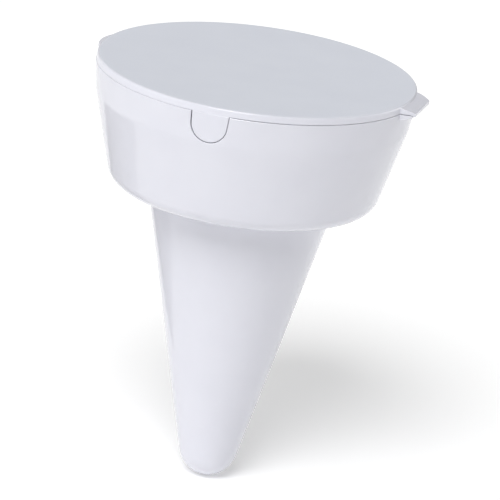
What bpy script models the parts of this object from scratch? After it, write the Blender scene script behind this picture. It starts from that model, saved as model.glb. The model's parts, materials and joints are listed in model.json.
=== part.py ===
"""A lidded cone cup that stands in sand: a round cup on a hollow spike, moulded in one
piece, with a flat flip-up lid. The lid's two round tongues close two rest notches in the
cup's wall, a thumb tab lies over a ledge on the rim, and a lug opposite the tab carries the
hinge knuckle, whose pin clicks into two open seats behind the rim.

Units are metres. +Z is up the spike's axis, the origin is the spike's tip, the thumb tab
points to +X, the hinge is at -X, and the two tongues are at -Y and +Y.
"""

import math

import bmesh
import bpy

# Cup and spike
SPIKE_LENGTH = 0.0796  # tip to the cup's flat underside
CUP_HEIGHT = 0.0319  # underside to rim
RIM_RADIUS = 0.0423  # outside of the wall at the rim
BAND_HEIGHT = 0.0080  # the wall stands steeper in a band this tall below the rim
BAND_FLARE = 0.0010  # how much wider the rim is than the foot of the band
BAND_BLEND_RADIUS = 0.0200  # where the band's foot runs into the wall below
CUP_BASE_RADIUS = 0.0350  # outside of the wall at the underside, before its corner is rounded
SPIKE_TOP_RADIUS = 0.0249  # outside of the spike where it meets the underside
TIP_RADIUS = 0.0078
WALL = 0.0018
BASE_CORNER_RADIUS = 0.0051
SPIKE_FILLET = 0.0010  # hollow corner between spike and underside
FLOOR_EDGE_RADIUS = 0.0008  # inside, where the floor drops into the spike
RIM_EDGE_RADIUS = 0.0004  # outer edge of the rim
RIM_INNER_RADIUS = 0.0003

# Lid
LID_SETBACK = 0.0003  # the rim shows this far beyond the lid's edge
LID_GAP = 0.0003
LID_THICKNESS = 0.0017
LID_EDGE_RADIUS = 0.0006
RING_DEPTH = 0.0017  # the locating ring reaches this far into the cup
RING_WALL = 0.0012
RING_CLEARANCE = 0.0004
RING_OPEN_ANGLE = math.radians(32.5)  # the ring stops this far each side of the hinge

# Rest notches in the wall, and the lid's tongues that close them
NOTCH_RADIUS = 0.00485  # round bottom of the notch
NOTCH_DEPTH = 0.0079  # rim to the bottom of the notch
NOTCH_HINGE_FLARE = math.radians(1)  # how much the side towards the hinge leans out
NOTCH_TAB_FLARE = math.radians(6)  # and the side towards the tab
TONGUE_CLEARANCE = 0.0004
TONGUE_EDGE_RADIUS = 0.0005
TONGUE_SIDES = (-1, 1)  # at -Y and +Y

# Thumb tab on the lid, and the ledge under it on the cup
TAB_REACH = 0.0030  # beyond the lid's edge
TAB_HALF_WIDTH = 0.0086  # at the lid's edge
TAB_TAPER = 0.0014  # how much of that half width is lost at the end
TAB_THICKNESS = 0.00087
TAB_ROOT_INSET = 0.0006  # the tab starts this far inside the lid's edge
TAB_ROOT_DROP = 0.0003  # below the lid's top
TAB_END_DROP = 0.0014
LEDGE_CLEARANCE = 0.0003
LEDGE_SETBACK = 0.0006  # the ledge stops this short of the tab's end
LEDGE_ROOT_THICKNESS = 0.0016
LEDGE_TIP_THICKNESS = 0.00035

# Hinge
HINGE_INSET = 0.0015  # axis inside the rim's outer radius
HINGE_DROP = 0.0015  # axis below the rim
PIN_RADIUS = 0.0007
PIN_LENGTH = 0.0092
PIN_CLEARANCE = 0.0002
KNUCKLE_RADIUS = 0.0016
KNUCKLE_WIDTH = 0.0054
KNUCKLE_CLEARANCE = 0.0003  # between the knuckle's sides and the ears
KNUCKLE_SWING = 0.0010  # between the knuckle and the floor of its notch
EAR_WIDTH = 0.0025
EAR_OUTSIDE = 0.0014  # ears reach this far outside the axis
EAR_INSIDE = 0.0020  # and this far inside it
EAR_EDGE_RADIUS = 0.0004
EAR_TOP_GAP = 0.0002  # ears stop this far below the rim
SEAT_MOUTH = 0.0012  # narrower than the pin, so the pin clicks in
LUG_REACH = 0.00115  # beyond the lid's edge
LUG_RADIUS = 0.0150
LUG_TOP_DROP = 0.0004  # below the lid's top
LUG_THICKNESS = 0.0008
RELIEF_HALF_WIDTH = 0.0105  # hollow under the lug that clears the rim as it swings
RELIEF_LENGTH = 0.0012  # how far the hollow runs in past the hinge axis

# Fineness
SEGMENTS = 72
ARC_STEP = math.radians(20)
TAB_STATIONS = 6

# Worked out from the above
RIM_Z = SPIKE_LENGTH + CUP_HEIGHT
BAND_Z = RIM_Z - BAND_HEIGHT
BAND_RADIUS = RIM_RADIUS - BAND_FLARE
TAPER = math.atan((BAND_RADIUS - CUP_BASE_RADIUS) / (CUP_HEIGHT - BAND_HEIGHT))
WALL_ACROSS = WALL / math.cos(TAPER)  # the sloping wall measured level
FLOOR_Z = SPIKE_LENGTH + WALL
LID_RADIUS = RIM_RADIUS - LID_SETBACK
LID_BOTTOM = RIM_Z + LID_GAP
LID_TOP = LID_BOTTOM + LID_THICKNESS
HINGE_X = -(RIM_RADIUS - HINGE_INSET)
HINGE_Z = RIM_Z - HINGE_DROP
BORE_RADIUS = PIN_RADIUS + PIN_CLEARANCE
SLOT_WIDTH = KNUCKLE_WIDTH + 2 * KNUCKLE_CLEARANCE
SEAT_LENGTH = PIN_LENGTH + 2 * PIN_CLEARANCE
TAB_ROOT_X = LID_RADIUS - TAB_ROOT_INSET
TAB_END_X = LID_RADIUS + TAB_REACH
BEYOND = 0.004  # how far a cutter runs past what it cuts


def spike_angle():
    """Half angle of the spike, whose side runs from the top radius to touch the round tip."""
    rise = SPIKE_LENGTH - TIP_RADIUS
    reach = math.hypot(SPIKE_TOP_RADIUS, rise)
    return math.acos(TIP_RADIUS / reach) - math.atan2(rise, SPIKE_TOP_RADIUS)


def wall_radius(z):
    """Outside radius of the cup's wall at height z."""
    if z > BAND_Z:
        return BAND_RADIUS + BAND_FLARE * (z - BAND_Z) / BAND_HEIGHT
    return BAND_RADIUS - (BAND_Z - z) * math.tan(TAPER)


def rounded(corners):
    """An outline through corners (x, y, radius), each rounded by an arc of its radius."""
    points = []
    last = len(corners) - 1
    for i, (x, y, radius) in enumerate(corners):
        if radius == 0 or i in (0, last):
            points.append((x, y))
            continue
        ax, ay = corners[i - 1][0] - x, corners[i - 1][1] - y
        bx, by = corners[i + 1][0] - x, corners[i + 1][1] - y
        a_length, b_length = math.hypot(ax, ay), math.hypot(bx, by)
        ax, ay, bx, by = ax / a_length, ay / a_length, bx / b_length, by / b_length
        half = math.acos(ax * bx + ay * by) / 2
        along = radius / math.tan(half)
        mx, my = ax + bx, ay + by
        to_centre = radius / math.sin(half) / math.hypot(mx, my)
        cx, cy = x + mx * to_centre, y + my * to_centre
        start = math.atan2(y + ay * along - cy, x + ax * along - cx)
        end = math.atan2(y + by * along - cy, x + bx * along - cx)
        turn = (end - start + math.pi) % math.tau - math.pi
        steps = max(2, math.ceil(abs(turn) / ARC_STEP))
        for k in range(steps + 1):
            angle = start + turn * k / steps
            points.append((cx + radius * math.cos(angle), cy + radius * math.sin(angle)))
    return points


def u_outline(centre, radius, flares, top):
    """A U seen from the side: a round bottom about centre (x, z), and sides at -X and +X that
    lean out by the two flares."""
    x, z = centre
    start, end = math.pi + flares[0], math.tau - flares[1]
    steps = math.ceil((end - start) / ARC_STEP) + 4
    arc = [start + (end - start) * k / steps for k in range(steps + 1)]
    points = [(x + radius * math.cos(a), z + radius * math.sin(a)) for a in arc]
    low_lean = (top - points[0][1]) * math.tan(flares[0])
    high_lean = (top - points[-1][1]) * math.tan(flares[1])
    return points + [(points[-1][0] + high_lean, top), (points[0][0] - low_lean, top)]


def new_object(name, bm):
    """Turns a bmesh into a smooth-shaded object."""
    bmesh.ops.remove_doubles(bm, verts=bm.verts, dist=1e-7)
    bmesh.ops.recalc_face_normals(bm, faces=bm.faces)
    mesh = bpy.data.meshes.new(name)
    bm.to_mesh(mesh)
    bm.free()
    mesh.shade_smooth()
    mesh.set_sharp_from_angle(angle=math.radians(30))
    obj = bpy.data.objects.new(name, mesh)
    bpy.context.scene.collection.objects.link(obj)
    return obj


def turned(name, outline, middle=0.0, sweep=math.tau):
    """Turns an outline of (radius, z) about Z: all the way round, or a closed outline
    through sweep about the direction middle, with its ends filled."""
    bm = bmesh.new()
    start = middle - sweep / 2
    verts = [bm.verts.new((r * math.cos(start), r * math.sin(start), z)) for r, z in outline]
    part_turn = sweep < math.tau
    edges = [bm.edges.new(pair) for pair in zip(verts, verts[1:])]
    if part_turn:
        edges.append(bm.edges.new((verts[-1], verts[0])))
    steps = round(SEGMENTS * sweep / math.tau)
    geometry = verts + edges
    bmesh.ops.spin(bm, geom=geometry, axis=(0, 0, 1), angle=sweep, steps=steps,
                   use_merge=not part_turn)
    if part_turn:
        open_edges = [e for e in bm.edges if e.is_boundary]
        bmesh.ops.holes_fill(bm, edges=open_edges, sides=len(outline))
    return new_object(name, bm)


def prism(name, outline, axis, low, high):
    """Extrudes an outline along axis from low to high. The outline is (x, z) for axis Y,
    (y, z) for axis X and (x, y) for axis Z."""
    bm = bmesh.new()
    place = {
        "X": lambda a, b: (low, a, b),
        "Y": lambda a, b: (a, low, b),
        "Z": lambda a, b: (a, b, low),
    }[axis]
    face = bm.faces.new([bm.verts.new(place(a, b)) for a, b in outline])
    made = bmesh.ops.extrude_face_region(bm, geom=[face])["geom"]
    shift = [(high - low) if axis == name_of_axis else 0 for name_of_axis in "XYZ"]
    moved = [v for v in made if isinstance(v, bmesh.types.BMVert)]
    bmesh.ops.translate(bm, vec=shift, verts=moved)
    return new_object(name, bm)


def block(name, x, y, z):
    """A box between the (low, high) pairs x, y and z."""
    outline = [(x[0], y[0]), (x[1], y[0]), (x[1], y[1]), (x[0], y[1])]
    return prism(name, outline, "Z", *z)


def cross_pin(name, radius, length):
    """A round bar on the hinge axis, along Y and centred on the hinge."""
    steps = 24
    circle = [math.tau * k / steps for k in range(steps)]
    outline = [(HINGE_X + radius * math.cos(a), HINGE_Z + radius * math.sin(a)) for a in circle]
    return prism(name, outline, "Y", -length / 2, length / 2)


def flap(name, x_low, x_high, half_width, top, thickness):
    """A plate that runs out along X: half_width, top and thickness are functions of x."""
    bm = bmesh.new()
    sections = []
    for k in range(TAB_STATIONS + 1):
        x = x_low + (x_high - x_low) * k / TAB_STATIONS
        w, high = half_width(x), top(x)
        low = high - thickness(x)
        corners = [(x, -w, low), (x, w, low), (x, w, high), (x, -w, high)]
        sections.append([bm.verts.new(c) for c in corners])
    for a, b in zip(sections, sections[1:]):
        for i in range(4):
            j = (i + 1) % 4
            bm.faces.new((a[i], a[j], b[j], b[i]))
    bm.faces.new(sections[0])
    bm.faces.new(sections[-1])
    return new_object(name, bm)


def combine(target, tool, operation):
    """Adds a Boolean modifier, and turns the tool into a guide that isn't rendered."""
    modifier = target.modifiers.new(tool.name, "BOOLEAN")
    modifier.operation = operation
    modifier.solver = "EXACT"
    modifier.object = tool
    tool.hide_render = True
    tool.display_type = "WIRE"
    if tool.parent is None:
        tool.parent = target


def plastic(name, colour, roughness, metallic=0.0):
    """A Principled material."""
    material = bpy.data.materials.new(name)
    material.use_nodes = True
    shader = material.node_tree.nodes["Principled BSDF"]
    shader.inputs["Base Color"].default_value = (*colour, 1.0)
    shader.inputs["Roughness"].default_value = roughness
    shader.inputs["Metallic"].default_value = metallic
    return material


def tab_share(x):
    """0 at the lid's edge and 1 at the tab's end."""
    return max(0.0, (x - TAB_ROOT_X) / (TAB_END_X - TAB_ROOT_X))


def tab_half_width(x):
    """Half the tab's width at x: its sides curve in towards the end."""
    return TAB_HALF_WIDTH - TAB_TAPER * tab_share(x) ** 1.8


def tab_top(x):
    """Height of the tab's top at x: it bends down more steeply towards its end."""
    share = tab_share(x)
    bend = 0.6 * share + 0.4 * share ** 2
    return LID_TOP - TAB_ROOT_DROP - (TAB_END_DROP - TAB_ROOT_DROP) * bend


def ledge_top(x):
    """Height of the ledge's top at x: just under the tab, and under the rim's own top."""
    return min(tab_top(x) - TAB_THICKNESS - LEDGE_CLEARANCE, RIM_Z - 0.00005)


def notch_tool(name, radius, side):
    """A U-shaped bar that runs out through the wall at -Y or +Y."""
    centre_z = RIM_Z - NOTCH_DEPTH + NOTCH_RADIUS
    flares = (NOTCH_HINGE_FLARE, NOTCH_TAB_FLARE)
    outline = u_outline((0, centre_z), radius, flares, LID_TOP)
    reach = sorted((side * (CUP_BASE_RADIUS - BEYOND), side * (RIM_RADIUS + BEYOND)))
    return prism(name, outline, "Y", *reach)


def cup_profile():
    """Closed outline of the cup and spike from the tip up the outside and down the inside."""
    angle = spike_angle()
    tip_share = (1 - math.sin(angle)) / math.cos(angle)
    base_inner = wall_radius(FLOOR_Z) - WALL_ACROSS
    throat = SPIKE_TOP_RADIUS + WALL * math.tan(angle) - WALL / math.cos(angle)
    return rounded([
        (0, 0, 0),
        (TIP_RADIUS * tip_share, 0, TIP_RADIUS),
        (SPIKE_TOP_RADIUS, SPIKE_LENGTH, SPIKE_FILLET),
        (CUP_BASE_RADIUS, SPIKE_LENGTH, BASE_CORNER_RADIUS),
        (BAND_RADIUS, BAND_Z, BAND_BLEND_RADIUS),
        (RIM_RADIUS, RIM_Z, RIM_EDGE_RADIUS),
        (RIM_RADIUS - WALL_ACROSS, RIM_Z, RIM_INNER_RADIUS),
        (BAND_RADIUS - WALL_ACROSS, BAND_Z, BAND_BLEND_RADIUS),
        (base_inner, FLOOR_Z, BASE_CORNER_RADIUS - WALL),
        (throat, FLOOR_Z, FLOOR_EDGE_RADIUS),
        ((TIP_RADIUS - WALL) * tip_share, WALL, TIP_RADIUS - WALL),
        (0, WALL, 0),
    ])


def hinge_ears():
    """The block behind the rim that its knuckle slot splits into two ears."""
    half = SLOT_WIDTH / 2 + EAR_WIDTH
    low, high = HINGE_Z - KNUCKLE_RADIUS, RIM_Z - EAR_TOP_GAP
    outside, inside = HINGE_X - EAR_OUTSIDE, HINGE_X + EAR_INSIDE
    outline = rounded([
        (inside, high, 0),
        (outside, high, EAR_EDGE_RADIUS),
        (outside, low, EAR_EDGE_RADIUS),
        (inside, low, 0),
    ])
    return prism("ear_block", outline, "Y", -half, half)


def add_cup(material):
    """The cup and its spike, with rest notches, tab ledge and hinge ears."""
    cup = turned("cone_cup", cup_profile())
    cup.data.materials.append(material)
    ledge = flap(
        "ledge_plate", RIM_RADIUS - WALL, TAB_END_X - LEDGE_SETBACK,
        tab_half_width, ledge_top,
        lambda x: LEDGE_ROOT_THICKNESS
        + (LEDGE_TIP_THICKNESS - LEDGE_ROOT_THICKNESS) * tab_share(x),
    )
    combine(cup, ledge, "UNION")
    combine(cup, hinge_ears(), "UNION")
    slot_floor = HINGE_Z - KNUCKLE_RADIUS - KNUCKLE_SWING
    past_ears = (HINGE_X - BEYOND, HINGE_X + EAR_INSIDE + BEYOND)
    slot = block("knuckle_slot", past_ears, (-SLOT_WIDTH / 2, SLOT_WIDTH / 2),
                 (slot_floor, LID_TOP))
    combine(cup, slot, "DIFFERENCE")
    combine(cup, cross_pin("pin_seats", BORE_RADIUS, SEAT_LENGTH), "DIFFERENCE")
    mouth = block("seat_mouths", (HINGE_X - SEAT_MOUTH / 2, HINGE_X + SEAT_MOUTH / 2),
                  (-SEAT_LENGTH / 2, SEAT_LENGTH / 2), (HINGE_Z, LID_TOP))
    combine(cup, mouth, "DIFFERENCE")
    for side in TONGUE_SIDES:
        name = "rest_notch_front" if side < 0 else "rest_notch_back"
        combine(cup, notch_tool(name, NOTCH_RADIUS, side), "DIFFERENCE")
    return cup


def lid_plate():
    """The lid's flat round plate with its rounded top edge."""
    return turned("lid", rounded([
        (0, LID_BOTTOM, 0),
        (LID_RADIUS, LID_BOTTOM, 0),
        (LID_RADIUS, LID_TOP, LID_EDGE_RADIUS),
        (0, LID_TOP, 0),
    ]))


def locating_ring():
    """The ring under the plate that drops inside the rim, open at the hinge."""
    high, low = LID_BOTTOM + LID_THICKNESS / 3, LID_BOTTOM - RING_DEPTH
    outer = [wall_radius(z) - WALL_ACROSS - RING_CLEARANCE for z in (high, low)]
    outline = [(outer[0], high), (outer[1], low),
               (outer[1] - RING_WALL, low), (outer[0] - RING_WALL, high)]
    return turned("locating_ring", outline, 0.0, math.tau - 2 * RING_OPEN_ANGLE)


def tongue(name, side):
    """One tongue: a piece of wall cut to the notch's U, less the clearance all round."""
    low, high = RIM_Z - NOTCH_DEPTH - BEYOND, LID_BOTTOM + LID_THICKNESS / 4
    deep = WALL_ACROSS + RING_CLEARANCE + RING_WALL / 2
    outline = rounded([
        (wall_radius(low) - deep, low, 0),
        (wall_radius(low), low, 0),
        (BAND_RADIUS, BAND_Z, BAND_BLEND_RADIUS),
        (wall_radius(high), high, TONGUE_EDGE_RADIUS),
        (wall_radius(high) - deep, high, 0),
        (BAND_RADIUS - deep, BAND_Z, 0),
    ])
    wall_piece = turned(name, outline, side * math.pi / 2, math.tau / 8)
    shape = notch_tool(name + "_shape", NOTCH_RADIUS - TONGUE_CLEARANCE, side)
    combine(wall_piece, shape, "INTERSECT")
    return wall_piece


def knuckle():
    """The round knuckle under the lug, with the web that joins it to the lid."""
    outline = u_outline((HINGE_X, HINGE_Z), KNUCKLE_RADIUS, (0, 0), LID_TOP - LUG_TOP_DROP * 1.5)
    return prism("knuckle", outline, "Y", -KNUCKLE_WIDTH / 2, KNUCKLE_WIDTH / 2)


def lug():
    """The disc that stands out as the curved lug over the hinge."""
    centre_x = -(LID_RADIUS + LUG_REACH - LUG_RADIUS)
    circle = [math.tau * k / SEGMENTS for k in range(SEGMENTS)]
    outline = [(centre_x + LUG_RADIUS * math.cos(a), LUG_RADIUS * math.sin(a)) for a in circle]
    high = LID_TOP - LUG_TOP_DROP
    return prism("lug", outline, "Z", high - LUG_THICKNESS - LID_GAP / 2, high)


def add_lid(material, hinge):
    """The lid with ring, tongues, tab, lug and knuckle, hung on the hinge axis."""
    lid = lid_plate()
    lid.data.materials.append(material)
    combine(lid, locating_ring(), "UNION")
    for side in TONGUE_SIDES:
        combine(lid, tongue("tongue_front" if side < 0 else "tongue_back", side), "UNION")
    tab = flap("thumb_tab", TAB_ROOT_X - BEYOND / 4, TAB_END_X, tab_half_width, tab_top,
               lambda x: TAB_THICKNESS)
    combine(lid, tab, "UNION")
    combine(lid, lug(), "UNION")
    relief = block("swing_relief", (HINGE_X - BEYOND, HINGE_X + RELIEF_LENGTH),
                   (-RELIEF_HALF_WIDTH, RELIEF_HALF_WIDTH),
                   (HINGE_Z, LID_TOP - LUG_TOP_DROP - LUG_THICKNESS))
    combine(lid, relief, "DIFFERENCE")
    combine(lid, knuckle(), "UNION")
    bore = cross_pin("knuckle_bore", BORE_RADIUS, KNUCKLE_WIDTH + BEYOND)
    combine(lid, bore, "DIFFERENCE")
    lid.parent = hinge
    lid.location = (-HINGE_X, 0, -HINGE_Z)
    return lid


def add_pin(material):
    """The hinge pin, from ear to ear through the knuckle."""
    pin = cross_pin("hinge_pin", PIN_RADIUS, PIN_LENGTH)
    pin.data.materials.append(material)
    return pin


def main():
    for obj in list(bpy.data.objects):
        bpy.data.objects.remove(obj, do_unlink=True)
    hinge = bpy.data.objects.new("lid_hinge_axis", None)
    hinge.location = (HINGE_X, 0, HINGE_Z)
    hinge.empty_display_size = PIN_LENGTH
    bpy.context.scene.collection.objects.link(hinge)
    add_cup(plastic("cup_plastic", (0.80, 0.80, 0.84), 0.28))
    add_lid(plastic("lid_plastic", (0.78, 0.79, 0.82), 0.45), hinge)
    add_pin(plastic("pin_steel", (0.62, 0.62, 0.64), 0.30, 1.0))
    bpy.context.view_layer.update()


main()
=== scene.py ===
"""The finished look of the lidded cone cup: two white polypropylene mouldings and a steel pin,
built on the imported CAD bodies, with a pale floor, studio light and the camera."""

import json
import math

import bmesh
import bpy
import numpy as np
from mathutils import Matrix, Vector


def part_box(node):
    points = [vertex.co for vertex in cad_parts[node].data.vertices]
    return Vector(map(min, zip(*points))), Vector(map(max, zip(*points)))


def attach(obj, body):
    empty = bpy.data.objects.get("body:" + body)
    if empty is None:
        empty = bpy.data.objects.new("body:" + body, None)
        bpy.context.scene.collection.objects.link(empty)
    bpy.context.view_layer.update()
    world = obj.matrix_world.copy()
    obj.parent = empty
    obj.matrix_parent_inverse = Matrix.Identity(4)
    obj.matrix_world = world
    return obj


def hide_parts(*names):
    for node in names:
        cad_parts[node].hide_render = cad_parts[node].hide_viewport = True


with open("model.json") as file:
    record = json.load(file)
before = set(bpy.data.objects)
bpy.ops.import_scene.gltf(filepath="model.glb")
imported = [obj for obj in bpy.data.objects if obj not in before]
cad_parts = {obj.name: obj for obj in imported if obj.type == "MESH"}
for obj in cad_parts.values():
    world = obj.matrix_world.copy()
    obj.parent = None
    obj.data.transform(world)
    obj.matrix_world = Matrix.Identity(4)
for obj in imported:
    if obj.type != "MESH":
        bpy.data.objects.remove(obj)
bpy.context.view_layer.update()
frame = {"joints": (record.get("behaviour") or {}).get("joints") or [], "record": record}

# Main sizes, from the frame
CUP_LOW, CUP_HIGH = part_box("cone_cup")
LID_LOW, LID_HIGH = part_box("lid")
PIN_LOW, PIN_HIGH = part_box("hinge_pin")
MOUNTS = {mount["name"]: Vector(mount["pos_m"]) for mount in frame["record"]["mounts"]}
HINGE_X, _, HINGE_Z = frame["joints"][0]["pos_m"]
UNDERSIDE_Z = MOUNTS["cup_underside"].z
RIM_Z = CUP_HIGH.z
LID_TOP = MOUNTS["lid_top"].z
PIN_LENGTH = PIN_HIGH.y - PIN_LOW.y
PIN_RADIUS = (PIN_HIGH.z - PIN_LOW.z) / 2
TAB_END_X = LID_HIGH.x
LEDGE_END_X = CUP_HIGH.x
LUG_END_X = LID_LOW.x

# Cup and spike, in metres
RIM_RADIUS = 0.0423
BAND_HEIGHT = 0.0080
BAND_FLARE = 0.0010  # how much wider the rim is than the foot of the band
BAND_RADIUS = RIM_RADIUS - BAND_FLARE
BAND_BLEND_RADIUS = 0.0120
CUP_BASE_RADIUS = 0.0350
SPIKE_TOP_RADIUS = 0.0249
TIP_RADIUS = 0.0078
WALL = 0.0018
BASE_CORNER_RADIUS = 0.0051
SPIKE_FILLET = 0.0010
FLOOR_EDGE_RADIUS = 0.0008
RIM_EDGE_RADIUS = 0.00026
RIM_INNER_RADIUS = 0.0003

# Lid
LID_SETBACK = 0.0003  # the rim shows this far beyond the lid's edge
LID_GAP = 0.0003
LID_RADIUS = RIM_RADIUS - LID_SETBACK
LID_BOTTOM = RIM_Z + LID_GAP
LID_EDGE_RADIUS = 0.0006
LID_LOWER_EDGE_RADIUS = 0.00010
LID_DRAFT = 0.0002  # the plate's side leans out this far from top to bottom
SEATED_GAP = 0.00012  # what is left of LID_GAP when the lid is pressed shut
HINGE_GAP = 0.00003  # and on the hinge side
GAP_OPENS_FROM = -0.012  # between these two places along X one gap runs into the other
GAP_OPENS_TO = 0.012
UNDERSIDE_FADE = 2 * LID_LOWER_EDGE_RADIUS  # only this much of the plate's height is drawn down
RING_DEPTH = 0.0017
RING_WALL = 0.0012
RING_EDGE_RADIUS = 0.3 * RING_WALL
RING_ROOT = 0.0005  # the ring starts this far up in the plate
RING_CLEARANCE = 0.0004
RING_OPEN_ANGLE = math.radians(32.5)

# Rest notches and the tongues in them
NOTCH_RADIUS = 0.00492
NOTCH_DEPTH = 0.0079
NOTCH_FLARES = (math.radians(1), math.radians(6))
TONGUE_CLEARANCE = 0.00021
NOTCH_SHIFT = -0.00014  # the notch lies this far towards the hinge
TONGUE_SHIFT = -0.00006  # the tongue less so, nearer the tab side of its notch
TONGUE_SECTOR = math.tau / 8
TONGUE_TOP = LID_BOTTOM - 0.0001  # inside the plate, as it is pressed shut
TONGUE_TOP_RADIUS = 0.0003
CUT_EDGE_RADIUS = 0.00018

# Thumb tab and ledge
TAB_ROOT_INSET = 0.0006  # the tab starts this far inside the lid's edge
TAB_ROOT_X = LID_RADIUS - TAB_ROOT_INSET
TAB_OVERLAP = 0.0010  # and runs back this far into the plate
TAB_HALF_WIDTH = 0.0086
TAB_TAPER = 0.0014
TAB_TAPER_POWER = 1.8
TAB_THICKNESS = 0.00099
TAB_EDGE_RADIUS = 0.00014
TAB_ROOT_DROP = 0.0003
TAB_END_DROP = 0.0014
TAB_BEND = 0.4  # share of the drop that comes as a curve
LEDGE_CLEARANCE = 0.00010
LEDGE_RIM_DROP = 0.00005  # the ledge's top stays at least this far under the rim
LEDGE_ROOT_THICKNESS = 0.0016
LEDGE_TIP_THICKNESS = 0.00035
LEDGE_EDGE_RADIUS = 0.45 * LEDGE_TIP_THICKNESS

# Hinge
PIN_CLEARANCE = 0.0002
PIN_EDGE_RADIUS = 0.0002
BORE_RADIUS = PIN_RADIUS + PIN_CLEARANCE
KNUCKLE_RADIUS = 0.0016
KNUCKLE_WIDTH = 0.0054
KNUCKLE_EDGE_RADIUS = 0.00015
KNUCKLE_CLEARANCE = 0.0003  # between the knuckle's sides and the ears
KNUCKLE_SWING = 0.0010  # between the knuckle and the floor of its slot
SLOT_WIDTH = KNUCKLE_WIDTH + 2 * KNUCKLE_CLEARANCE
SLOT_FLOOR_Z = HINGE_Z - KNUCKLE_RADIUS - KNUCKLE_SWING
EAR_WIDTH = 0.0025
EAR_OUTSIDE = 0.0014
EAR_INSIDE = 0.0020
EAR_EDGE_RADIUS = 0.0004
EAR_TOP_GAP = 0.0002
SEAT_LENGTH = PIN_LENGTH + 2 * PIN_CLEARANCE
SEAT_MOUTH = 0.0012
LUG_RADIUS = 0.0150
LUG_TOP_DROP = 0.0004
LUG_THICKNESS = 0.0008
LUG_SKIRT = LID_GAP / 2  # the lug hangs this far below the roof of its relief
LUG_UPPER_EDGE_RADIUS = 0.0003
LUG_LOWER_EDGE_RADIUS = 0.0001
KNUCKLE_TOP_DROP = 1.5 * LUG_TOP_DROP
RELIEF_HALF_WIDTH = 0.0105
RELIEF_LENGTH = 0.0012

# Fineness
SEGMENTS = 240
LUG_SEGMENTS = 160
BAR_SIDES = 48
ARC_STEP = math.radians(11)
U_STEP = math.radians(5)
RUN_STEP = 0.0030
FLAP_RUNS = 14
EDGE_STEPS = 5
BAR_EDGE_STEPS = 4
STEEPEST = math.radians(76)  # how far round an edge is turned
EDGE_LEAD = 0.7  # a cutter runs on this far past a rounded edge, as a share of its radius
U_ROWS = 12
KNUCKLE_ROWS = 4
SMALLEST_RADIUS = 0.00002
SEAM = 0.0001  # a closed outline starts and ends this far apart, on a straight side
BEYOND = 0.0040  # how far a cutter runs past what it cuts
MERGE_DISTANCE = 1e-7
SLIVER = 2e-6  # shorter edges are dissolved
SHARP_FROM = math.radians(32)
NORMAL_WEIGHT = 60

# Worked out from the above
TAPER = math.atan((BAND_RADIUS - CUP_BASE_RADIUS) / (RIM_Z - BAND_HEIGHT - UNDERSIDE_Z))
WALL_ACROSS = WALL / math.cos(TAPER)
FLOOR_Z = UNDERSIDE_Z + WALL
BAND_Z = RIM_Z - BAND_HEIGHT
U_TOP = LID_TOP + BEYOND / 2  # where the tools for notch and tongue end


# Outlines

def rounded(corners):
    """An outline through corners (x, y, radius), each rounded by an arc of its radius."""
    points = []
    last = len(corners) - 1
    for i, (x, y, radius) in enumerate(corners):
        if radius == 0 or i in (0, last):
            points.append((x, y))
            continue
        ax, ay = corners[i - 1][0] - x, corners[i - 1][1] - y
        bx, by = corners[i + 1][0] - x, corners[i + 1][1] - y
        a_length, b_length = math.hypot(ax, ay), math.hypot(bx, by)
        ax, ay, bx, by = ax / a_length, ay / a_length, bx / b_length, by / b_length
        half = math.acos(ax * bx + ay * by) / 2
        along = radius / math.tan(half)
        mx, my = ax + bx, ay + by
        to_centre = radius / math.sin(half) / math.hypot(mx, my)
        cx, cy = x + mx * to_centre, y + my * to_centre
        start = math.atan2(y + ay * along - cy, x + ax * along - cx)
        end = math.atan2(y + by * along - cy, x + bx * along - cx)
        turn = (end - start + math.pi) % math.tau - math.pi
        steps = max(3, math.ceil(abs(turn) / ARC_STEP))
        for k in range(steps + 1):
            angle = start + turn * k / steps
            points.append((cx + radius * math.cos(angle), cy + radius * math.sin(angle)))
    return points


def stepped(points, step=RUN_STEP):
    """The same outline with points added along its long straight runs."""
    filled = [points[0]]
    for (x0, y0), (x1, y1) in zip(points, points[1:]):
        count = max(1, round(math.hypot(x1 - x0, y1 - y0) / step))
        filled += [(x0 + (x1 - x0) * k / count, y0 + (y1 - y0) * k / count)
                   for k in range(1, count + 1)]
    return filled


def u_outline(centre, radius, flares, top, rows):
    """A U seen from the side: a round bottom about centre (x, z), and sides that lean out."""
    x, z = centre
    start, end = math.pi + flares[0], math.tau - flares[1]
    steps = math.ceil((end - start) / U_STEP)
    arc = [start + (end - start) * k / steps for k in range(steps + 1)]
    bottom = [(x + radius * math.cos(angle), z + radius * math.sin(angle)) for angle in arc]
    left_x, left_z = bottom[0]
    right_x, right_z = bottom[-1]
    right, left = [], []
    for k in range(1, rows + 1):
        rise_right = (top - right_z) * k / rows
        rise_left = (top - left_z) * k / rows
        right.append((right_x + rise_right * math.tan(flares[1]), right_z + rise_right))
        left.append((left_x - rise_left * math.tan(flares[0]), left_z + rise_left))
    return bottom + right + left[::-1]


def spike_angle():
    """Half angle of the spike, whose side touches the round tip."""
    rise = UNDERSIDE_Z - TIP_RADIUS
    reach = math.hypot(SPIKE_TOP_RADIUS, rise)
    return math.acos(TIP_RADIUS / reach) - math.atan2(rise, SPIKE_TOP_RADIUS)


def wall_outline():
    """The wall's side from the underside up past the rim, as (radius, z)."""
    above = LID_TOP + BEYOND
    return rounded([
        (CUP_BASE_RADIUS, UNDERSIDE_Z, 0),
        (BAND_RADIUS, BAND_Z, BAND_BLEND_RADIUS),
        (RIM_RADIUS + (above - RIM_Z) * BAND_FLARE / BAND_HEIGHT, above, 0),
    ])


WALL_LINE = np.array(wall_outline())


def wall_radius(z):
    """Outside radius of the cup's wall at height z."""
    return float(np.interp(z, WALL_LINE[:, 1], WALL_LINE[:, 0]))


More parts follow.
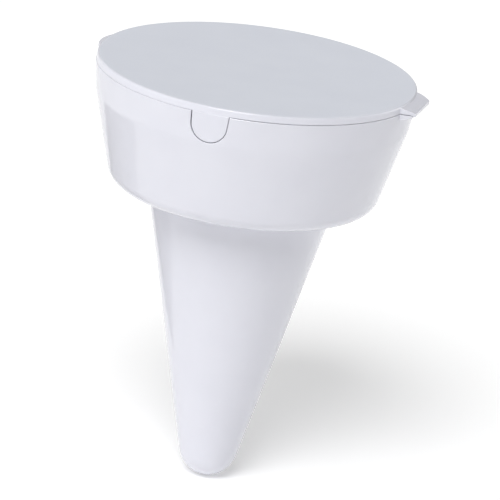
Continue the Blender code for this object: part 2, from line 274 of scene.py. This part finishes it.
def edge_arc(radius, sweep, steps):
    """Points round an edge of this radius, as (distance from the end face, inset)."""
    angles = [sweep * k / steps for k in range(steps + 1)]
    return [(radius * (1 - math.sin(angle)), radius * (1 - math.cos(angle))) for angle in angles]


def edge_levels(radius, sign):
    """The steps (depth, offset) of a rounded cut edge, from outside the surface inwards."""
    arc = edge_arc(radius, STEEPEST, EDGE_STEPS)
    depth, offset = arc[-1]
    lead = radius * EDGE_LEAD
    outside = (depth - lead * math.cos(STEEPEST), offset + lead * math.sin(STEEPEST))
    return [(depth, sign * offset) for depth, offset in [outside, *arc[::-1]]]


# Meshes

def new_object(name, bm):
    """Turns a bmesh into an object."""
    bmesh.ops.remove_doubles(bm, verts=bm.verts, dist=MERGE_DISTANCE)
    bmesh.ops.recalc_face_normals(bm, faces=bm.faces)
    mesh = bpy.data.meshes.new(name)
    bm.to_mesh(mesh)
    bm.free()
    obj = bpy.data.objects.new(name, mesh)
    bpy.context.scene.collection.objects.link(obj)
    return obj


def turned(name, outline, middle=0.0, sweep=math.tau, centre=(0.0, 0.0), segments=SEGMENTS):
    """Turns an outline of (radius, z) about the vertical through centre: all the way round,
    or, for a closed outline, through sweep about the direction middle."""
    part_turn = sweep < math.tau
    steps = max(3, round(segments * sweep / math.tau))
    bm = bmesh.new()
    columns = []
    for k in range(steps + 1 if part_turn else steps):
        angle = middle - sweep / 2 + sweep * k / steps
        columns.append([bm.verts.new((centre[0] + r * math.cos(angle),
                                      centre[1] + r * math.sin(angle), z))
                        for r, z in outline])
    ring = range(len(outline)) if part_turn else range(len(outline) - 1)
    pairs = list(zip(columns, columns[1:] + ([] if part_turn else columns[:1])))
    for left, right in pairs:
        for i in ring:
            j = (i + 1) % len(outline)
            bm.faces.new((left[i], right[i], right[j], left[j]))
    if part_turn:
        bm.faces.new(columns[0])
        bm.faces.new(columns[-1])
    return new_object(name, bm)


def loft(name, rings):
    """A closed solid through rings of points, with its first and last ring filled."""
    bm = bmesh.new()
    loops = [[bm.verts.new(point) for point in ring] for ring in rings]
    for a, b in zip(loops, loops[1:]):
        for i in range(len(a)):
            j = (i + 1) % len(a)
            bm.faces.new((a[i], a[j], b[j], b[i]))
    bm.faces.new(loops[0])
    bm.faces.new(loops[-1])
    return new_object(name, bm)


def block(name, x, y, z):
    """A box between the (low, high) pairs x, y and z."""
    corners = [(x[0], y[0]), (x[1], y[0]), (x[1], y[1]), (x[0], y[1])]
    return loft(name, [[(a, b, level) for a, b in corners] for level in z])


def cross_bar(name, outline_at, length, edge=0.0):
    """A bar along Y, centred on the hinge. outline_at(inset) gives its (x, z) outline drawn in
    by inset, which rounds its two ends."""
    arc = edge_arc(edge, math.pi / 2, BAR_EDGE_STEPS) if edge else [(0.0, 0.0)]
    ends = [(length / 2 - back, inset) for back, inset in arc]
    stations = [(-y, inset) for y, inset in ends[::-1]] + ends
    return loft(name, [[(x, y, z) for x, z in outline_at(inset)] for y, inset in stations])


def circle_on_hinge(radius):
    """outline_at for a round bar on the hinge axis."""
    def outline(inset):
        return [(HINGE_X + (radius - inset) * math.cos(math.tau * k / BAR_SIDES),
                 HINGE_Z + (radius - inset) * math.sin(math.tau * k / BAR_SIDES))
                for k in range(BAR_SIDES)]
    return outline


def combine(target, tool, operation):
    """Joins, cuts or keeps what target shares with tool, and removes the tool."""
    modifier = target.modifiers.new(tool.name, "BOOLEAN")
    modifier.operation = operation
    modifier.solver = "EXACT"
    modifier.object = tool
    depsgraph = bpy.context.evaluated_depsgraph_get()
    mesh = bpy.data.meshes.new_from_object(target.evaluated_get(depsgraph))
    target.modifiers.clear()
    target.data = mesh
    bpy.data.objects.remove(tool, do_unlink=True)


def finish_surface(obj, material):
    """Smooth shading with crisp edges, and the piece's material."""
    bm = bmesh.new()
    bm.from_mesh(obj.data)
    bmesh.ops.dissolve_degenerate(bm, dist=SLIVER, edges=bm.edges)
    bmesh.ops.triangulate(bm, faces=[f for f in bm.faces if len(f.verts) > 4])
    bm.to_mesh(obj.data)
    bm.free()
    obj.data.materials.clear()
    obj.data.materials.append(material)
    obj.data.shade_smooth()
    obj.data.set_sharp_from_angle(angle=SHARP_FROM)
    weighted = obj.modifiers.new("weighted_normals", "WEIGHTED_NORMAL")
    weighted.keep_sharp = True
    weighted.weight = NORMAL_WEIGHT


# The cup

def u_tool(name, side, radius, edge_sign, inner_inset, shift):
    """A U-shaped bar through the wall at -Y or +Y, whose edges round off where they meet the
    wall's outside and the surface inner_inset behind it: outwards for a notch (edge_sign 1),
    inwards for a tongue (-1)."""
    centre = (shift, RIM_Z - NOTCH_DEPTH + NOTCH_RADIUS)

    def ring(inset, offset, flat_y=None):
        points = []
        for x, z in u_outline(centre, radius + offset, NOTCH_FLARES, U_TOP, U_ROWS):
            y = math.sqrt((wall_radius(z) - inset) ** 2 - x * x) if flat_y is None else flat_y
            points.append((x, side * y, z))
        return points

    outer = edge_levels(CUT_EDGE_RADIUS, edge_sign)
    inner = [(inner_inset - depth, offset) for depth, offset in outer[::-1]]
    rings = [ring(0, outer[0][1], RIM_RADIUS + BEYOND)]
    rings += [ring(inset, offset) for inset, offset in outer + inner]
    rings += [ring(0, inner[-1][1], CUP_BASE_RADIUS - BEYOND)]
    return loft(name, rings)


def cup_outline():
    """Outline of the cup and spike from the tip up the outside and down the inside."""
    angle = spike_angle()
    tip_share = (1 - math.sin(angle)) / math.cos(angle)
    throat = SPIKE_TOP_RADIUS + WALL * math.tan(angle) - WALL / math.cos(angle)
    base_inner = CUP_BASE_RADIUS + WALL * math.tan(TAPER) - WALL_ACROSS
    return stepped(rounded([
        (0, CUP_LOW.z, 0),
        (TIP_RADIUS * tip_share, 0, TIP_RADIUS),
        (SPIKE_TOP_RADIUS, UNDERSIDE_Z, SPIKE_FILLET),
        (CUP_BASE_RADIUS, UNDERSIDE_Z, BASE_CORNER_RADIUS),
        (BAND_RADIUS, BAND_Z, BAND_BLEND_RADIUS),
        (RIM_RADIUS, RIM_Z, RIM_EDGE_RADIUS),
        (RIM_RADIUS - WALL_ACROSS, RIM_Z, RIM_INNER_RADIUS),
        (BAND_RADIUS - WALL_ACROSS, BAND_Z, BAND_BLEND_RADIUS),
        (base_inner, FLOOR_Z, BASE_CORNER_RADIUS - WALL),
        (throat, FLOOR_Z, FLOOR_EDGE_RADIUS),
        ((TIP_RADIUS - WALL) * tip_share, WALL, TIP_RADIUS - WALL),
        (0, WALL, 0),
    ]))


def tab_share(x):
    """0 up to the tab's root and 1 at its end."""
    return max(0.0, (x - TAB_ROOT_X) / (TAB_END_X - TAB_ROOT_X))


def tab_half_width(x):
    """Half the tab's width at x: its sides curve in towards the end."""
    return TAB_HALF_WIDTH - TAB_TAPER * tab_share(x) ** TAB_TAPER_POWER


def tab_top(x):
    """Height of the tab's top at x: it bends down more steeply towards its end."""
    share = tab_share(x)
    bend = (1 - TAB_BEND) * share + TAB_BEND * share ** 2
    return LID_TOP - TAB_ROOT_DROP - (TAB_END_DROP - TAB_ROOT_DROP) * bend


def tab_thickness(x):
    """The tab is thickest at its root, where it reaches down to the rim's gap."""
    return max(TAB_THICKNESS, tab_top(x) - RIM_Z - SEATED_GAP)


def ledge_top(x):
    """Height of the ledge's top at x: just under the tab, and under the rim's own top."""
    return min(tab_top(x) - TAB_THICKNESS - LEDGE_CLEARANCE, RIM_Z - LEDGE_RIM_DROP)


def ledge_thickness(x):
    """The ledge thins from its root to its end."""
    return LEDGE_ROOT_THICKNESS + (LEDGE_TIP_THICKNESS - LEDGE_ROOT_THICKNESS) * tab_share(x)


def flap(name, x_low, x_high, top, thickness, edge):
    """A plate that runs out along X, as wide as the tab, with rounded edges and end."""
    straight = x_high - edge - x_low
    stations = [(x_low + straight * k / FLAP_RUNS, 0.0) for k in range(FLAP_RUNS + 1)]
    arc = edge_arc(edge, STEEPEST, EDGE_STEPS)
    stations += [(x_high - back, inset) for back, inset in arc[1:]]
    rings = []
    for x, inset in stations:
        w = tab_half_width(x) - inset
        high, low = top(x) - inset, top(x) - thickness(x) + inset
        r = max(SMALLEST_RADIUS, edge - inset)
        centres = [(w - r, high - r), (-w + r, high - r), (-w + r, low + r), (w - r, low + r)]
        ring = []
        for quarter, (cy, cz) in enumerate(centres):
            for k in range(EDGE_STEPS + 1):
                angle = math.pi / 2 * (quarter + k / EDGE_STEPS)
                ring.append((x, cy + r * math.cos(angle), cz + r * math.sin(angle)))
        rings.append(ring)
    return loft(name, rings)


def ear_outline(inset):
    """Outline of the ears in the hinge's plane, drawn in by inset."""
    low, high = HINGE_Z - KNUCKLE_RADIUS + inset, RIM_Z - EAR_TOP_GAP - inset
    outside, inside = HINGE_X - EAR_OUTSIDE + inset, HINGE_X + EAR_INSIDE - inset
    middle = (low + high) / 2
    radius = EAR_EDGE_RADIUS - inset / 2
    return rounded([
        (inside, middle, 0),
        (inside, high, radius),
        (outside, high, radius),
        (outside, low, radius),
        (inside, low, radius),
        (inside, middle - SEAM, 0),
    ])


def add_cup(material):
    """The cup and its spike, with rest notches, tab ledge and hinge ears."""
    cup = turned("cone_cup_moulding", cup_outline())
    ledge = flap("ledge", RIM_RADIUS - WALL, LEDGE_END_X, ledge_top, ledge_thickness,
                 LEDGE_EDGE_RADIUS)
    combine(cup, ledge, "UNION")
    ears = cross_bar("ears", ear_outline, SLOT_WIDTH + 2 * EAR_WIDTH, CUT_EDGE_RADIUS)
    combine(cup, ears, "UNION")
    slot = block("slot", (HINGE_X - BEYOND, HINGE_X + EAR_INSIDE + BEYOND),
                 (-SLOT_WIDTH / 2, SLOT_WIDTH / 2), (SLOT_FLOOR_Z, LID_TOP))
    combine(cup, slot, "DIFFERENCE")
    seats = cross_bar("seats", circle_on_hinge(BORE_RADIUS), SEAT_LENGTH)
    combine(cup, seats, "DIFFERENCE")
    mouths = block("mouths", (HINGE_X - SEAT_MOUTH / 2, HINGE_X + SEAT_MOUTH / 2),
                   (-SEAT_LENGTH / 2, SEAT_LENGTH / 2), (HINGE_Z, LID_TOP))
    combine(cup, mouths, "DIFFERENCE")
    for side in (-1, 1):
        notch = u_tool("notch", side, NOTCH_RADIUS, 1, WALL_ACROSS, NOTCH_SHIFT)
        combine(cup, notch, "DIFFERENCE")
    finish_surface(cup, material)
    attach(cup, "cup")
    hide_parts("cone_cup")


# The lid

def lid_plate():
    """The flat round plate, whose underside lies closer to the rim on the hinge side."""
    plate = turned("lid_moulding", stepped(rounded([
        (0, LID_BOTTOM, 0),
        (LID_RADIUS + LID_DRAFT, LID_BOTTOM, LID_LOWER_EDGE_RADIUS),
        (LID_RADIUS, LID_TOP, LID_EDGE_RADIUS),
        (0, LID_TOP, 0),
    ])))
    for vertex in plate.data.vertices:
        share = (vertex.co.x - GAP_OPENS_FROM) / (GAP_OPENS_TO - GAP_OPENS_FROM)
        share = min(1.0, max(0.0, share))
        gap = HINGE_GAP + (SEATED_GAP - HINGE_GAP) * share * share * (3 - 2 * share)
        low_share = max(0.0, 1 - (vertex.co.z - LID_BOTTOM) / UNDERSIDE_FADE)
        vertex.co.z -= (LID_BOTTOM - RIM_Z - gap) * low_share
    return plate


def locating_ring():
    """The ring under the plate that drops inside the rim, open at the hinge."""
    high, low = LID_BOTTOM + RING_ROOT, LID_BOTTOM - RING_DEPTH
    high_radius, low_radius = (wall_radius(z) - WALL_ACROSS - RING_CLEARANCE
                               for z in (high, low))
    middle = (high_radius + low_radius) / 2 - RING_WALL / 2
    outline = rounded([
        (middle, high, 0),
        (high_radius, high, 0),
        (low_radius, low, RING_EDGE_RADIUS),
        (low_radius - RING_WALL, low, RING_EDGE_RADIUS),
        (high_radius - RING_WALL, high, 0),
    ])
    return turned("ring", outline, sweep=math.tau - 2 * RING_OPEN_ANGLE)


def tongue(side):
    """One tongue: a piece of wall cut to the notch's U, less the clearance all round."""
    low, high = RIM_Z - NOTCH_DEPTH - BEYOND, TONGUE_TOP
    deep = WALL_ACROSS + RING_CLEARANCE + RING_WALL / 2
    outline = stepped(rounded([
        (wall_radius(low) - deep, low, 0),
        (wall_radius(low), low, 0),
        (BAND_RADIUS, BAND_Z, BAND_BLEND_RADIUS),
        (wall_radius(high), high, TONGUE_TOP_RADIUS),
        (wall_radius(high) - deep, high, 0),
        (BAND_RADIUS - deep, BAND_Z, 0),
    ]), RUN_STEP / 2)
    piece = turned("tongue", outline, side * math.pi / 2, TONGUE_SECTOR)
    shape = u_tool("tongue_shape", side, NOTCH_RADIUS - TONGUE_CLEARANCE, -1, deep,
                   TONGUE_SHIFT)
    combine(piece, shape, "INTERSECT")
    return piece


def lug():
    """The disc that stands out as the curved lug over the hinge."""
    high = LID_TOP - LUG_TOP_DROP
    low = high - LUG_THICKNESS - LUG_SKIRT
    outline = stepped(rounded([
        (0, low, 0),
        (LUG_RADIUS, low, LUG_LOWER_EDGE_RADIUS),
        (LUG_RADIUS, high, LUG_UPPER_EDGE_RADIUS),
        (0, high, 0),
    ]))
    centre = (LUG_END_X + LUG_RADIUS, 0.0)
    return turned("lug", outline, centre=centre, segments=LUG_SEGMENTS)


def knuckle_outline(inset):
    """Outline of the knuckle and its web in the hinge's plane, drawn in by inset."""
    return u_outline((HINGE_X, HINGE_Z), KNUCKLE_RADIUS - inset, (0, 0),
                     LID_TOP - KNUCKLE_TOP_DROP, KNUCKLE_ROWS)


def add_lid(material):
    """The lid with ring, tongues, tab, lug and knuckle."""
    lid = lid_plate()
    combine(lid, locating_ring(), "UNION")
    for side in (-1, 1):
        combine(lid, tongue(side), "UNION")
    tab = flap("tab", TAB_ROOT_X - TAB_OVERLAP, TAB_END_X, tab_top, tab_thickness,
               TAB_EDGE_RADIUS)
    combine(lid, tab, "UNION")
    combine(lid, lug(), "UNION")
    relief = block("relief", (HINGE_X - BEYOND, HINGE_X + RELIEF_LENGTH),
                   (-RELIEF_HALF_WIDTH, RELIEF_HALF_WIDTH),
                   (HINGE_Z, LID_TOP - LUG_TOP_DROP - LUG_THICKNESS))
    combine(lid, relief, "DIFFERENCE")
    knuckle = cross_bar("knuckle", knuckle_outline, KNUCKLE_WIDTH, KNUCKLE_EDGE_RADIUS)
    combine(lid, knuckle, "UNION")
    bore = cross_bar("bore", circle_on_hinge(BORE_RADIUS), KNUCKLE_WIDTH + BEYOND)
    combine(lid, bore, "DIFFERENCE")
    finish_surface(lid, material)
    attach(lid, "lid")
    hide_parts("lid")


def add_pin(material):
    """The hinge pin, a cut length of wire with rounded ends."""
    pin = cross_bar("hinge_wire", circle_on_hinge(PIN_RADIUS), PIN_LENGTH, PIN_EDGE_RADIUS)
    finish_surface(pin, material)
    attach(pin, "cup")
    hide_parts("hinge_pin")


# Materials, each with its darkest and lightest tone

CUP_TONES = (0.682, 0.685, 0.745), (0.700, 0.703, 0.761)
LID_SIDE_TONES = (0.680, 0.685, 0.747), (0.698, 0.703, 0.763)
LID_TOP_TONES = (0.664, 0.687, 0.752), (0.682, 0.705, 0.768)
STEEL_TONES = (0.50, 0.50, 0.51), (0.68, 0.68, 0.70)
LID_TOP_FROM = LID_TOP - 0.00002  # the flat top is what lies above this height
PLASTIC_IOR = 1.49
SCATTER_WEIGHT = 0.15
SCATTER_RADIUS = (1.0, 0.95, 0.9)
NOISE_MIDDLE = (0.3, 0.7)


def link(tree, source, output, target, field):
    """Links a node's output to another node's input."""
    tree.links.new(source.outputs[output], target.inputs[field])


def noise(tree, place, scale, detail, roughness=0.5, output="Object"):
    """A noise texture at the places that the node place gives."""
    node = tree.nodes.new("ShaderNodeTexNoise")
    node.inputs["Scale"].default_value = scale
    node.inputs["Detail"].default_value = detail
    node.inputs["Roughness"].default_value = roughness
    link(tree, place, output, node, "Vector")
    return node


def spread(tree, source, low, high):
    """Maps the middle range of a noise to low..high."""
    node = tree.nodes.new("ShaderNodeMapRange")
    node.inputs["From Min"].default_value = NOISE_MIDDLE[0]
    node.inputs["From Max"].default_value = NOISE_MIDDLE[1]
    node.inputs["To Min"].default_value = low
    node.inputs["To Max"].default_value = high
    link(tree, source, "Fac", node, "Value")
    return node


def tinted(tree, source, tones):
    """A colour that a noise moves between two tones."""
    dark, light = tones
    node = tree.nodes.new("ShaderNodeMix")
    node.data_type = "RGBA"
    node.inputs["A"].default_value = (*dark, 1)
    node.inputs["B"].default_value = (*light, 1)
    link(tree, spread(tree, source, low=0, high=1), "Result", node, "Factor")
    return node


def chosen(tree, mask, elsewhere, where, data_type):
    """One node's result where the mask is 1, and another's elsewhere."""
    node = tree.nodes.new("ShaderNodeMix")
    node.data_type = data_type
    link(tree, mask, "Value", node, "Factor")
    link(tree, elsewhere, "Result", node, "A")
    link(tree, where, "Result", node, "B")
    return node


def bump(tree, source, strength, distance, before=None, output="Fac"):
    """A bump layer, on top of the one before it."""
    node = tree.nodes.new("ShaderNodeBump")
    node.inputs["Strength"].default_value = strength
    node.inputs["Distance"].default_value = distance
    link(tree, source, output, node, "Height")
    if before is not None:
        link(tree, before, "Normal", node, "Normal")
    return node


def new_material(name):
    """A material, its node tree and its Principled shader."""
    material = bpy.data.materials.new(name)
    material.use_nodes = True
    tree = material.node_tree
    return material, tree, tree.nodes["Principled BSDF"]


def set_plastic(shader, scatter_scale):
    """What both mouldings share: how polypropylene bends light and lets it in."""
    shader.inputs["IOR"].default_value = PLASTIC_IOR
    shader.inputs["Subsurface Weight"].default_value = SCATTER_WEIGHT
    shader.inputs["Subsurface Radius"].default_value = SCATTER_RADIUS
    shader.inputs["Subsurface Scale"].default_value = scatter_scale


def cup_plastic():
    """Glossy white polypropylene: a faint mottle, and the slight waviness of a moulded skin."""
    material, tree, shader = new_material("cup_plastic")
    place = tree.nodes.new("ShaderNodeTexCoord")
    mottle = noise(tree, place, scale=90, detail=3)
    link(tree, tinted(tree, mottle, CUP_TONES), "Result", shader, "Base Color")
    shine = noise(tree, place, scale=260, detail=4, roughness=0.6)
    link(tree, spread(tree, shine, low=0.11, high=0.15), "Result", shader, "Roughness")
    fine = noise(tree, place, scale=420, detail=2)
    broad = noise(tree, place, scale=60, detail=2)
    skin = bump(tree, fine, strength=0.10, distance=0.0002)
    waves = bump(tree, broad, strength=0.06, distance=0.0006, before=skin)
    link(tree, waves, "Normal", shader, "Normal")
    set_plastic(shader, scatter_scale=0.0015)
    return material


def top_mask(tree, place):
    """1 on the lid's flat top, and 0 below it."""
    parts = tree.nodes.new("ShaderNodeSeparateXYZ")
    link(tree, place, "Object", parts, "Vector")
    mask = tree.nodes.new("ShaderNodeMath")
    mask.operation = "GREATER_THAN"
    mask.inputs[1].default_value = LID_TOP_FROM
    link(tree, parts, "Z", mask, 0)
    return mask


def lid_plastic():
    """White polypropylene with a finely spark-textured flat top and smooth edges."""
    material, tree, shader = new_material("lid_plastic")
    place = tree.nodes.new("ShaderNodeTexCoord")
    top = top_mask(tree, place)
    grain = noise(tree, place, scale=2600, detail=3, roughness=0.6)
    mottle = noise(tree, place, scale=70, detail=3)
    colour = chosen(tree, top, tinted(tree, mottle, LID_SIDE_TONES),
                    tinted(tree, mottle, LID_TOP_TONES), "RGBA")
    link(tree, colour, "Result", shader, "Base Color")
    roughness = chosen(tree, top, spread(tree, mottle, low=0.19, high=0.25),
                       spread(tree, grain, low=0.42, high=0.58), "FLOAT")
    link(tree, roughness, "Result", shader, "Roughness")
    top_grain = tree.nodes.new("ShaderNodeMath")
    top_grain.operation = "MULTIPLY"
    link(tree, grain, "Fac", top_grain, 0)
    link(tree, top, "Value", top_grain, 1)
    broad = noise(tree, place, scale=60, detail=2)
    texture = bump(tree, top_grain, strength=0.35, distance=0.00005, output="Value")
    waves = bump(tree, broad, strength=0.05, distance=0.0006, before=texture)
    link(tree, waves, "Normal", shader, "Normal")
    set_plastic(shader, scatter_scale=0.0012)
    return material


def pin_steel():
    """Drawn steel wire, with fine lines along it."""
    material, tree, shader = new_material("pin_steel")
    place = tree.nodes.new("ShaderNodeTexCoord")
    stretch = tree.nodes.new("ShaderNodeMapping")
    stretch.inputs["Scale"].default_value = (1.0, 0.03, 1.0)
    link(tree, place, "Object", stretch, "Vector")
    lines = noise(tree, stretch, scale=9000, detail=2, output="Vector")
    link(tree, tinted(tree, lines, STEEL_TONES), "Result", shader, "Base Color")
    link(tree, spread(tree, lines, low=0.22, high=0.42), "Result", shader, "Roughness")
    drawn = bump(tree, lines, strength=0.3, distance=0.00003)
    link(tree, drawn, "Normal", shader, "Normal")
    shader.inputs["Metallic"].default_value = 1.0
    return material


# Studio

CAMERA_AZIMUTH = math.radians(14.4)
CAMERA_ELEVATION = math.radians(18.40)
CAMERA_DISTANCE = 1.306
CAMERA_AIM_HEIGHT = 0.0546
CAMERA_LENS = 355.4
CAMERA_YAW = 0.0032  # radians, like the two below
CAMERA_PITCH = 0.0067
CAMERA_ROLL = 0.1304
CLIP_START = 0.05
CLIP_END = 50

FLOOR_REACH = 12
FLOOR_TOP = -0.0002  # just under the spike's tip
FLOOR_BOTTOM = -0.02
FLOOR_GREY = 0.86
FLOOR_GLOW = 0.25
SURROUND = 0.10

# Two cards on the floor beyond the picture's left edge. Their corners are measured to the
# camera's right and away from it.
CARD_THICKNESS = 0.0005
NEAR_CARD = [(-0.060, 0.030), (-0.200, 0.000), (-0.200, 0.105), (-0.085, 0.105)]
NEAR_CARD_GREY = 0.36
FAR_CARD = [(-0.085, 0.105), (-0.200, 0.105), (-0.200, 0.180), (-0.100, 0.180)]
FAR_CARD_GREY = 0.40


def direction(azimuth, elevation):
    """Unit vector from the object towards a place round it; azimuth 0 is the -Y side."""
    return Vector((math.sin(azimuth) * math.cos(elevation),
                   -math.cos(azimuth) * math.cos(elevation), math.sin(elevation)))


def add_camera():
    """The camera, turned a little from the object's centre and rolled."""
    back = direction(CAMERA_AZIMUTH, CAMERA_ELEVATION)
    right = Vector((math.cos(CAMERA_AZIMUTH), math.sin(CAMERA_AZIMUTH), 0))
    up = back.cross(right)
    aim = (-back * math.cos(CAMERA_YAW) * math.cos(CAMERA_PITCH)
           + right * math.sin(CAMERA_YAW) * math.cos(CAMERA_PITCH)
           + up * math.sin(CAMERA_PITCH)).normalized()
    right = aim.cross(up).normalized()
    up = right.cross(aim)
    rolled_right = right * math.cos(CAMERA_ROLL) + up * math.sin(CAMERA_ROLL)
    rolled_up = up * math.cos(CAMERA_ROLL) - right * math.sin(CAMERA_ROLL)
    data = bpy.data.cameras.new("camera")
    data.lens = CAMERA_LENS
    data.clip_start = CLIP_START
    data.clip_end = CLIP_END
    camera = bpy.data.objects.new("camera", data)
    place = Vector((0, 0, CAMERA_AIM_HEIGHT)) + back * CAMERA_DISTANCE
    axes = Matrix((rolled_right, rolled_up, -aim)).transposed()
    camera.matrix_world = Matrix.Translation(place) @ axes.to_4x4()
    bpy.context.scene.collection.objects.link(camera)
    bpy.context.scene.camera = camera


def add_floor():
    """A wide pale floor, slightly lit from below like a light table."""
    across = (-FLOOR_REACH, FLOOR_REACH)
    floor = block("studio_floor", across, across, (FLOOR_BOTTOM, FLOOR_TOP))
    material, _, shader = new_material("floor_white")
    shader.inputs["Roughness"].default_value = 0.8
    shader.inputs["Specular IOR Level"].default_value = 0.2
    shader.inputs["Base Color"].default_value = (FLOOR_GREY, FLOOR_GREY, FLOOR_GREY, 1)
    shader.inputs["Emission Color"].default_value = (1, 1, 1, 1)
    shader.inputs["Emission Strength"].default_value = FLOOR_GLOW
    floor.data.materials.append(material)


def add_lamp(name, azimuth, elevation, strength, softness):
    """A distant soft light. Azimuth is measured from the camera's, and softness is how wide
    the light looks, all in degrees."""
    data = bpy.data.lights.new(name, "SUN")
    data.energy = strength
    data.angle = math.radians(softness)
    lamp = bpy.data.objects.new(name, data)
    towards = direction(CAMERA_AZIMUTH + math.radians(azimuth), math.radians(elevation))
    lamp.rotation_mode = "QUATERNION"
    lamp.rotation_quaternion = towards.to_track_quat("Z", "Y")
    bpy.context.scene.collection.objects.link(lamp)


def add_card(name, corners, grey):
    """A card that shows only as a reflection in the gloss: the camera doesn't see it, and it
    casts no shadow."""
    turn = Matrix.Rotation(CAMERA_AZIMUTH, 3, "Z")
    card = loft(name, [[tuple(turn @ Vector((x, y, z))) for x, y in corners]
                       for z in (0.0, CARD_THICKNESS)])
    material, _, shader = new_material(name)
    shader.inputs["Base Color"].default_value = (grey, grey, grey, 1)
    shader.inputs["Roughness"].default_value = 1.0
    card.data.materials.append(material)
    card.visible_camera = False
    card.visible_diffuse = False
    card.visible_shadow = False


def add_world():
    """A dim even surround."""
    world = bpy.data.worlds.new("studio")
    world.use_nodes = True
    background = world.node_tree.nodes["Background"]
    background.inputs["Color"].default_value = (1, 1, 1, 1)
    background.inputs["Strength"].default_value = SURROUND
    bpy.context.scene.world = world


def add_light():
    """Soft lamps round the object, and the plain display transform."""
    add_lamp("key_light", -15, 48, 2.18, 29)
    add_lamp("side_light", -65, 30, 0.42, 50)
    add_lamp("left_light", -88, 18, 0.38, 50)
    add_lamp("top_light", 0, 80, 0.42, 60)
    add_lamp("left_back_light", -130, 20, 0.20, 50)
    add_lamp("right_back_light", 120, 18, 0.66, 30)
    add_lamp("back_light", 180, 30, 0.20, 60)
    add_world()
    settings = bpy.context.scene.view_settings
    settings.view_transform = "Standard"
    settings.look = "None"


add_cup(cup_plastic())
add_lid(lid_plastic())
add_pin(pin_steel())
add_camera()
add_floor()
add_card("grey_card", NEAR_CARD, NEAR_CARD_GREY)
add_card("dark_card", FAR_CARD, FAR_CARD_GREY)
add_light()
